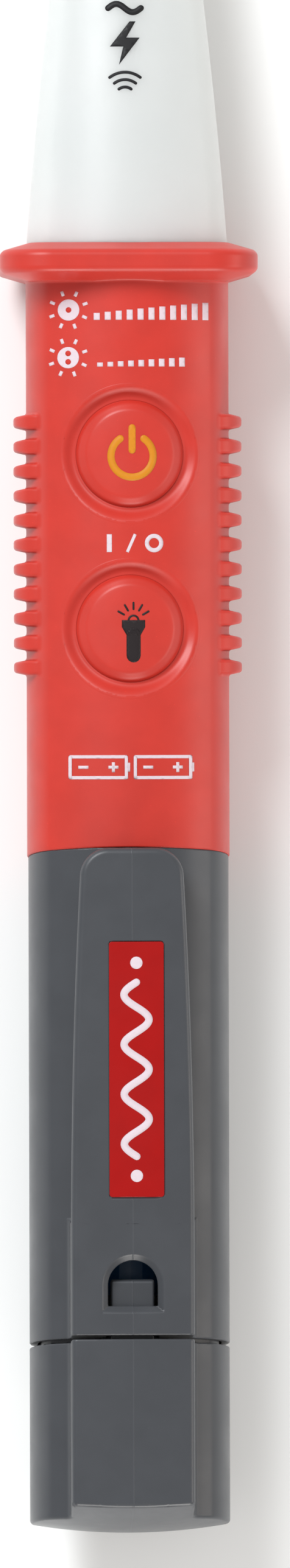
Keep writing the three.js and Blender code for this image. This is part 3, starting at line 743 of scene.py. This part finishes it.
RED_PLASTIC = moulded("red_soft_plastic", RED_COLOUR, 0.44).material
GREY_PLASTIC = moulded("grey_plastic", GREY_COLOUR, 0.4, seam=True, specks=0.2).material
NOSE_WHITE = nose_material().material
label_film = moulded("label_film", LABEL_COLOUR, 0.42, grain=4000, grain_depth=2e-6, specks=0.1)
label_film.shader.inputs["Specular IOR Level"].default_value = 0.2
label_film.shader.inputs["Sheen Weight"].default_value = 0.0
LABEL_FILM = label_film.material
PRINT_WHITE = ink("print_white", WHITE_INK).material
PRINT_ORANGE = ink("print_orange", ORANGE_INK).material
PRINT_DARK = ink("print_dark", DARK_INK).material
PRINT_BLACK = ink("print_black", BLACK_INK).material
PRINT_RED = ink("print_red", RED_COLOUR).material


# ---- Outer pieces --------------------------------------------------------------------------

FINE = 0.22


def fine_lines(half, step=FINE, extra=0.6):
    """Even grid lines across a piece that reaches half its width to either side."""
    return marks(-half - extra, (half + extra, step))


def build_shells():
    """The moulded outer pieces."""
    ribs_from, ribs_to = (middle("torch_button", "s") - 9.2, middle("power_button", "s") + 8.8)
    field_piece(
        "red_housing",
        housing_field,
        fine_lines(FLANGE_WIDTH / 2),
        marks(RED_START - 1.5, (RED_START + 1.4, 0.12), (ribs_from, 1.0), (ribs_to, 0.2),
              (FLANGE_MIDDLE - 3.6, 0.8), (FLANGE_END + 0.4, 0.16)),
        fine_lines(FLANGE_DEPTH / 2),
        RED_PLASTIC, "red_plastic", "root", "front_housing",
    )
    for name, station in BUTTONS.items():
        crown_lathe(f"{name}_dish", station, surround_profile(), RED_PLASTIC, "red_plastic", "root")
        crown_lathe(f"{name}_pad", station, PAD_TOP + PAD_UNDERSIDE, RED_PLASTIC, "red_soft", name, name)
    field_piece(
        "grey_sleeve",
        sleeve_field,
        fine_lines(GREY["width"] / 2),
        marks(SLEEVE_START - 1.5, (SLEEVE_START + 2, 0.14), (WINDOW["arch"] + 4.2, 0.16),
              (CLIP_ROOT + 1, 0.2),
              (SLEEVE_END - 1.5, 1.2), (SLEEVE_END + 1.5, 0.12), (SPIGOT_END + 0.3, 0.8)),
        marks(-GREY["depth"] / 2 - 0.6, (8.8, FINE), (RIDGE_TOP + 0.6, 0.12)),
        GREY_PLASTIC, "grey_plastic", "root", "rear_sleeve",
    )
    field_piece(
        "grey_cap",
        cap_field,
        fine_lines(GREY["width"] / 2),
        marks(-0.5, (3.4, 0.16), (CAP_SPLIT - 3.6, 0.8), (CAP_SPLIT + 1.8, 0.14),
              (COLLAR_END + 0.3, 0.5)),
        marks(-GREY["depth"] / 2 - 0.6, (RIDGE_TOP + 0.6, FINE)),
        GREY_PLASTIC, "grey_plastic", "battery_cap", "battery_cap",
    )
    clip = field_piece(
        "clip_bar",
        clip_field,
        fine_lines(RIDGE_HALF_WIDTH, 0.18),
        marks(CLIP_ROOT - 1.1, (CLIP_ROOT + 4, 0.3), (LABEL["s"] + LABEL["length"] / 2 - 0.6, 0.4),
              (CLIP_END + 0.3, 0.16)),
        marks(CLIP_PAD - 0.4, (RIDGE_TOP + 0.5, 0.12)),
        GREY_PLASTIC, "grey_plastic", None, "pocket_clip",
    )
    bend = (CLIP_ROOT - 0.2, CLIP_ROOT + 2.6)
    start, end = (to_frame([(0, station, RIDGE_TOP)])[0] for station in bend)
    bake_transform(clip)
    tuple(start)
    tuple(end)
    field_piece(
        "latch_tongue",
        latch_field,
        fine_lines(2.15, 0.12, 0.3),
        marks(span("cap_latch", "s")[0] - 0.3, (span("cap_latch", "s")[1] + 0.3, 0.14)),
        marks(span("cap_latch", "z")[0] - 0.3, (span("cap_latch", "z")[1] + 0.3, 0.1)),
        GREY_PLASTIC, "grey_plastic", "cap_latch", "cap_latch",
    )
    field_piece(
        "label_plate",
        label_field,
        marks(LABEL["x"] - 3.1, (LABEL["x"] + 3.1, 0.1)),
        marks(LABEL["s"] - 13.2, (LABEL["s"] - 12.2, 0.1), (LABEL["s"] + 12.2, 0.8),
              (LABEL["s"] + 13.2, 0.1)),
        marks(RIDGE_TOP - 0.15, (RIDGE_TOP + 0.09, 0.03)),
        LABEL_FILM, "label_red", "pocket_clip", "clip_label",
    )
    field_piece(
        "nose_shell",
        nose_field,
        fine_lines(NOSE["width"] / 2, 0.3),
        marks(span("nose_cone", "s")[0] - 0.3, (NOSE_START - 0.6, 0.6), (NOSE_START + 2, 0.2),
              (LENGTH - 7, 1.0), (LENGTH + 0.2, 0.2)),
        fine_lines(NOSE["depth"] / 2, 0.3),
        NOSE_WHITE, "white_plastic", "root", "nose_cone",
    )


# ---- Printed marks -------------------------------------------------------------------------


def capsule(start, end, width, steps=8):
    """The outline of a round-ended stroke."""
    (x0, y0), (x1, y1) = start, end
    heading = math.atan2(y1 - y0, x1 - x0)
    points = []
    for (x, y), base in (((x1, y1), heading - math.pi / 2), ((x0, y0), heading + math.pi / 2)):
        for i in range(steps + 1):
            angle = base + math.pi * i / steps
            points.append((x + width / 2 * math.cos(angle), y + width / 2 * math.sin(angle)))
    return points


def bar(start, end, width):
    """The outline of a square-ended stroke."""
    (x0, y0), (x1, y1) = start, end
    length = math.hypot(x1 - x0, y1 - y0)
    nx, ny = (y1 - y0) / length * width / 2, -(x1 - x0) / length * width / 2
    return [(x0 + nx, y0 + ny), (x1 + nx, y1 + ny), (x1 - nx, y1 - ny), (x0 - nx, y0 - ny)]


def band(path, width, round_ends=True, steps=6):
    """The outline of a stroke of constant width along a path."""
    path = np.array(path, float)
    direction = np.gradient(path, axis=0)
    direction /= np.linalg.norm(direction, axis=1, keepdims=True)
    side = np.stack([direction[:, 1], -direction[:, 0]], -1) * width / 2
    right, left = list(path + side), list((path - side)[::-1])
    if not round_ends:
        return right + left
    caps = []
    for point, heading in ((path[-1], direction[-1]), (path[0], -direction[0])):
        base = math.atan2(heading[1], heading[0]) - math.pi / 2
        angles = [base + math.pi * i / steps for i in range(1, steps)]
        caps.append([point + width / 2 * np.array([math.cos(a), math.sin(a)]) for a in angles])
    return right + caps[0] + left + caps[1]


def arc(centre, radius, start, end, steps=40):
    """Points on an arc, from start to end degrees."""
    angles = np.radians(np.linspace(start, end, steps + 1))
    return np.stack([centre[0] + radius * np.cos(angles), centre[1] + radius * np.sin(angles)], -1)


def outline_mesh(name, outlines):
    """A flat mesh of filled outlines."""
    bm = bmesh.new()
    for outline in outlines:
        bm.faces.new([bm.verts.new((x, y, 0)) for x, y in outline])
    mesh = bpy.data.meshes.new(name)
    bm.to_mesh(mesh)
    bm.free()
    return mesh


def seen_from_above(field, high=12.5, low=3.0):
    """The height at which a field's surface is first met from above, as a function of x and s."""

    def height(x, s):
        top, bottom = np.full(x.shape, high), np.full(x.shape, low)
        for _ in range(36):
            half = (top + bottom) / 2
            outside = field(x, s, half) > 0
            top, bottom = np.where(outside, half, top), np.where(outside, bottom, half)
        return (top + bottom) / 2

    return height


def pad_height(station):
    """The height of a button's pad, as a function of x and s."""
    radii, heights = np.array(PAD_TOP).T

    def height(x, s):
        return crown(x) + np.interp(np.hypot(x, s - station), radii, heights)

    return height


def label_height(x, s):
    """The height of the label's face."""
    return ridge_top(x) + 0.03


def print_on(name, meshes, at, height, material, body, turn=0.0, lift=0.02):
    """Lay flat marks, drawn in x and s round a point, on the surface below, as a thin closed film."""
    bm = bmesh.new()
    for mesh in meshes:
        bm.from_mesh(mesh)
        bpy.data.meshes.remove(mesh)
    bmesh.ops.rotate(bm, verts=bm.verts, matrix=Matrix.Rotation(turn, 3, "Z"))
    bmesh.ops.remove_doubles(bm, verts=bm.verts, dist=1e-4)
    bmesh.ops.triangulate(bm, faces=bm.faces)
    for _ in range(6):
        long_edges = [e for e in bm.edges if e.calc_length() > 0.45]
        if not long_edges:
            break
        bmesh.ops.subdivide_edges(bm, edges=long_edges, cuts=1)
        bmesh.ops.triangulate(bm, faces=bm.faces)
    points = np.array([v.co for v in bm.verts])
    x, s = points[:, 0] + at[0], points[:, 1] + at[1]
    surface = np.stack([x, s, height(x, s)], -1)
    step = 0.05
    slope_x = (height(x + step, s) - height(x - step, s)) / (2 * step)
    slope_s = (height(x, s + step) - height(x, s - step)) / (2 * step)
    normals = np.stack([-slope_x, -slope_s, np.ones(len(x))], -1)
    normals /= np.linalg.norm(normals, axis=1, keepdims=True)
    for vertex, place in zip(bm.verts, to_frame(surface + normals * lift)):
        vertex.co = place
    bmesh.ops.recalc_face_normals(bm, faces=bm.faces)
    if sum(face.normal.z for face in bm.faces) < 0:
        bmesh.ops.reverse_faces(bm, faces=bm.faces)
    mesh = bpy.data.meshes.new(name)
    bm.to_mesh(mesh)
    bm.free()
    mesh.materials.append(material)
    mesh.polygons.foreach_set("use_smooth", [True] * len(mesh.polygons))
    piece = add_object(name, mesh)
    film = piece.modifiers.new("film", "SOLIDIFY")
    film.thickness = 2 * lift * MM
    film.offset = -1.0
    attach(piece, body)
    return piece


def lamp_mark(name, dots, at):
    """A lamp sign: a disc with eight short rays, and dots in the housing's colour that number it."""
    rays = []
    for i in range(8):
        angle = math.radians(20 + 45 * i)
        inner, outer = 1.5, 2.0
        rays.append(bar(
            (inner * math.cos(angle), inner * math.sin(angle)),
            (outer * math.cos(angle), outer * math.sin(angle)),
            0.3,
        ))
    disc = arc((0, 0), 1.07, 0, 360, 48)[:-1]
    sign = outline_mesh(name, [disc, *rays])
    print_on(f"{name}_lamp", [sign], at, HOUSING_HEIGHT, PRINT_WHITE, "root")
    centres = [(0, (i - (dots - 1) / 2) * 0.85) for i in range(dots)]
    spots = outline_mesh(name, [arc(centre, 0.28, 0, 360, 24)[:-1] for centre in centres])
    print_on(f"{name}_dots", [spots], at, HOUSING_HEIGHT, PRINT_RED, "root", lift=0.035)


def level_scale(width, lowest, highest, count):
    """The outlines of a row of bars that grow in height, standing on one line."""
    pitch, foot = width / count, -0.875
    outlines = []
    for i in range(count):
        x = (i + 0.5) * pitch - width / 2
        height = lowest + (highest - lowest) * i / (count - 1)
        outlines.append(bar((x, foot), (x, foot + height), 0.55 * pitch))
    return outlines


HOUSING_HEIGHT = seen_from_above(lambda x, s, z: barrel(x, z, RED))


def range_marks():
    """The two ranges' lamps, each with a scale of bars, and the on and off signs."""
    lamp_mark("range_high", 1, (-6.1, 123.85))
    lamp_mark("range_low", 2, (-6.15, 119.05))
    slash = bar((-0.4, -0.9), (0.4, 0.9), 0.3)
    on_bar = bar((-2.2, -0.9), (-2.2, 0.9), 0.5)
    halves = [arc((2.3, 0), 0.72, start, start + 180) for start in (0, 180)]
    off_ring = [band(half, 0.42, round_ends=False) for half in halves]
    for name, outlines, at in (
        ("range_high_scale", level_scale(12.1, 0.7, 1.75, 11), (2.2, 123.7)),
        ("range_low_scale", level_scale(9.3, 0.4, 0.9, 9), (1.15, 119.0)),
        ("switch_sign", [slash, on_bar, *off_ring], (0.1, 100.35)),
    ):
        sign = outline_mesh(name, outlines)
        print_on(name, [sign], at, HOUSING_HEIGHT, PRINT_WHITE, "root")


def cells_mark():
    """Two cells in line, drawn as a generic battery sign."""
    length, height, stroke = 5.6, 2.1, 0.32
    outlines = []
    for side in (-1, 1):
        middle_x = side * (length / 2 + 0.45)
        left, right = middle_x - length / 2, middle_x + length / 2
        for start, end in (
            ((left, height / 2), (right, height / 2)),
            ((left, -height / 2), (right, -height / 2)),
            ((left, -height / 2), (left, height / 2)),
            ((right, -height / 2), (right, height / 2)),
        ):
            outlines.append(capsule(start, end, stroke))
        outlines.append(bar((right + 0.2, -0.45), (right + 0.2, 0.45), 0.35))
        outlines.append(bar((left + 0.8, 0), (left + 1.8, 0), 0.3))
        outlines.append(bar((right - 1.8, 0), (right - 0.8, 0), 0.3))
        outlines.append(bar((right - 1.3, -0.5), (right - 1.3, 0.5), 0.3))
    meshes = [outline_mesh(f"cells_{i}", [outline]) for i, outline in enumerate(outlines)]
    print_on("cells_sign", meshes, (0.0, 77.8), HOUSING_HEIGHT, PRINT_WHITE, "root")


def power_mark():
    """The standby sign on the power button."""
    station = BUTTONS["power_button"]
    ring = band(arc((0, 0), 2.12, 124, 416), 0.73)
    stem = capsule((0, 0.6), (0, 2.85), 0.71)
    meshes = [outline_mesh("power_ring", [ring]), outline_mesh("power_stem", [stem])]
    print_on(
        "power_sign", meshes, (0.2, station - 0.25), pad_height(station), PRINT_ORANGE,
        "power_button",
    )


def torch_mark():
    """A torch with rays on the torch button."""
    station = BUTTONS["torch_button"]
    head = [(-1.17, 0.95), (-1.17, 0.25), (-0.68, -0.6), (0.68, -0.6), (1.17, 0.25), (1.17, 0.95)]
    handle = capsule((0, -0.5), (0, -2.6), 1.42)
    lens = band(arc((0, 0.9), 0.5, 8, 172, 16), 0.2)
    rays = []
    for angle in (30, 60, 90, 120, 150):
        a = math.radians(angle)
        near, far = (1.1, 1.75)
        rays.append(capsule(
            (near * math.cos(a), 0.95 + near * math.sin(a)),
            (far * math.cos(a), 0.95 + far * math.sin(a)),
            0.2, 4,
        ))
    meshes = [outline_mesh("torch_part", [outline]) for outline in (head, handle, lens, *rays)]
    print_on(
        "torch_sign", meshes, (0.3, station - 0.1), pad_height(station), PRINT_DARK,
        "torch_button",
    )


def wave(length, height, periods, steps=64):
    """A sine path centred on the origin."""
    x = np.linspace(-length / 2, length / 2, steps + 1)
    return np.stack([x, height * np.sin(2 * np.pi * periods * (x / length + 0.5))], -1)


def nose_marks():
    """A flash, the alternating-current sign and three sensing arcs on the nose."""
    flash = [
        (0.5, 2.2), (-1.5, -0.35), (-0.15, -0.35), (-0.6, -2.2), (1.5, 0.55), (0.15, 0.55), (1.1, 2.2),
    ]
    tilde = band(wave(3.3, 0.42, 1.0), 0.62)
    print_on("flash_sign", [outline_mesh("flash", [flash])], (-0.35, 150.75), NOSE_HEIGHT, PRINT_BLACK,
             "root")
    print_on("wave_sign", [outline_mesh("tilde", [tilde])], (-0.35, 154.3), NOSE_HEIGHT, PRINT_BLACK,
             "root")
    arcs = [band(arc((0, -1.6), radius, 52, 128, 16), 0.3) for radius in (1.0, 1.75, 2.5)]
    meshes = [outline_mesh("sense_arc", [outline]) for outline in arcs]
    print_on("sensing_sign", meshes, (-0.35, 146.9), NOSE_HEIGHT, PRINT_BLACK, "root")


NOSE_HEIGHT = seen_from_above(lambda x, s, z: nose_section(x, s, z, LENGTH, 0), low=0.0)


def label_marks():
    """A generic alternating-current sign along the clip's label."""
    sine = band(wave(17.5, 1.25, 3.5, 160), 0.75)
    dots = [arc((side * 10.7, 0), 0.62, 0, 360, 32)[:-1] for side in (-1, 1)]
    meshes = [outline_mesh("label_part", [outline]) for outline in (sine, *dots)]
    print_on("label_sign", meshes, (LABEL["x"], LABEL["s"]), label_height, PRINT_WHITE,
             "pocket_clip", turn=math.pi / 2, lift=0.015)


# ---- Carried-over inner pieces -------------------------------------------------------------


def finish_inner_nodes():
    """Give every CAD node that is still shown its own procedural material."""
    steel = metal("steel", linear(196, 198, 202), 0.25).material
    brass = metal("brass", linear(208, 168, 88), 0.25).material
    black = moulded("black_plastic", linear(34, 34, 36), 0.6, specks=0.1).material
    tan = moulded("capacitor_case", linear(196, 158, 92), 0.45, specks=0.1).material
    board = board_material().material
    finishes = {
        "cell_rear": cell_material("cell_rear").material,
        "cell_front": cell_material("cell_front").material,
        "cell_carrier": black,
        "cap_spring": steel,
        "cap_contact": steel,
        "return_strip": brass,
        "positive_contact": brass,
        "circuit_board": board,
        "power_dome": steel,
        "torch_dome": steel,
        "controller_chip": black,
        "amplifier_chip": black,
        "boost_chip": black,
        "indicator_lamp": lens_material("lamp_red", linear(214, 52, 40)).material,
        "torch_lamp": lens_material("lamp_clear", linear(240, 243, 240)).material,
        "buzzer": black,
        "boost_coil": black,
        "storage_capacitor": tan,
        "sensor_plate": brass,
        "sensor_lead": steel,
    }
    for node, material in finishes.items():
        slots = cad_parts[node].material_slots
        for slot in slots:
            slot.link = "OBJECT"
            slot.material = material


# ---- Stage, light and camera ---------------------------------------------------------------

PIXELS = (476, 2576)
LENS, SENSOR = 315.0, 36.0
SCALE = 16.22
LOOK_DOWN = math.radians(-0.4)
ROLL = math.radians(1.9)
TILT = math.radians(0.15)
AIM = (1.5, 76.05)


def build_camera():
    """A long lens over the front face, slightly to its left, with the nose's tip out of frame."""
    data = bpy.data.cameras.new("camera")
    data.lens = LENS
    data.sensor_width = SENSOR
    data.clip_start = 0.05
    data.clip_end = 60
    camera = add_object("camera", data)
    distance = PIXELS[1] / SCALE / (SENSOR / LENS) * MM
    back = Vector((
        -math.sin(ROLL),
        -math.sin(LOOK_DOWN) * math.cos(ROLL),
        math.cos(LOOK_DOWN) * math.cos(ROLL),
    )).normalized()
    right = Vector((math.cos(ROLL), 0, math.sin(ROLL)))
    right = (right - back * right.dot(back)).normalized()
    up = back.cross(right)
    right, up = (
        right * math.cos(TILT) - up * math.sin(TILT),
        up * math.cos(TILT) + right * math.sin(TILT),
    )
    axis_foot = Vector(to_frame([(0, 0, 0)])[0])
    target = axis_foot + right * AIM[0] * MM + up * AIM[1] * MM
    camera.matrix_world = Matrix.Translation(target + back * distance) @ Matrix(
        (right, up, back)
    ).transposed().to_4x4()
    bpy.context.scene.camera = camera


def build_stage():
    """A pale floor under the flange's rim and the cap's back edge."""
    n = Nodes("floor")
    tone = n.mix(n.noise(3, 2), linear(236, 236, 235), linear(240, 240, 239))
    n.join(tone, n.shader.inputs["Base Color"])
    n.join(n.spread(n.noise(40, 3), 0.3, 0.7, 0.7, 0.8), n.shader.inputs["Roughness"])
    bm = bmesh.new()
    bmesh.ops.create_grid(bm, x_segments=8, y_segments=8, size=15)
    mesh = bpy.data.meshes.new("floor")
    bm.to_mesh(mesh)
    bm.free()
    mesh.materials.append(n.material)
    floor = add_object("floor", mesh)
    floor.location.z = -0.0002


def area_light(name, place, size, power, aim=(0, 0, 0.01), colour=(1, 1, 1)):
    """A soft light panel that points at the object and isn't seen itself."""
    data = bpy.data.lights.new(name, "AREA")
    data.shape = "RECTANGLE"
    data.size, data.size_y = size
    data.energy = power
    data.color = colour
    light = add_object(name, data)
    light.location = place
    light.rotation_euler = (Vector(aim) - Vector(place)).to_track_quat("-Z", "Y").to_euler()
    light.visible_camera = False


def build_light():
    """Soft daylight from the upper left over an even pale surround."""
    world = bpy.data.worlds.new("surround")
    world.use_nodes = True
    background = world.node_tree.nodes["Background"]
    background.inputs["Color"].default_value = (0.985, 0.985, 0.985, 1.0)
    background.inputs["Strength"].default_value = 0.61
    bpy.context.scene.world = world
    area_light("key", (-0.5, 0.7, 0.9), (0.5, 0.5), 15.5, colour=(0.95, 0.98, 1.0))
    area_light("fill", (0.95, -0.15, 0.4), (0.7, 0.4), 3.0, colour=(1.0, 0.93, 0.86))
    area_light("edge", (0.1, -1.1, 0.25), (0.6, 0.3), 8.0, colour=(1.0, 0.97, 0.93))
    bpy.context.scene.view_settings.view_transform = "Standard"


build_camera()
build_stage()
build_light()
build_shells()
range_marks()
cells_mark()
power_mark()
torch_mark()
nose_marks()
label_marks()
finish_inner_nodes()
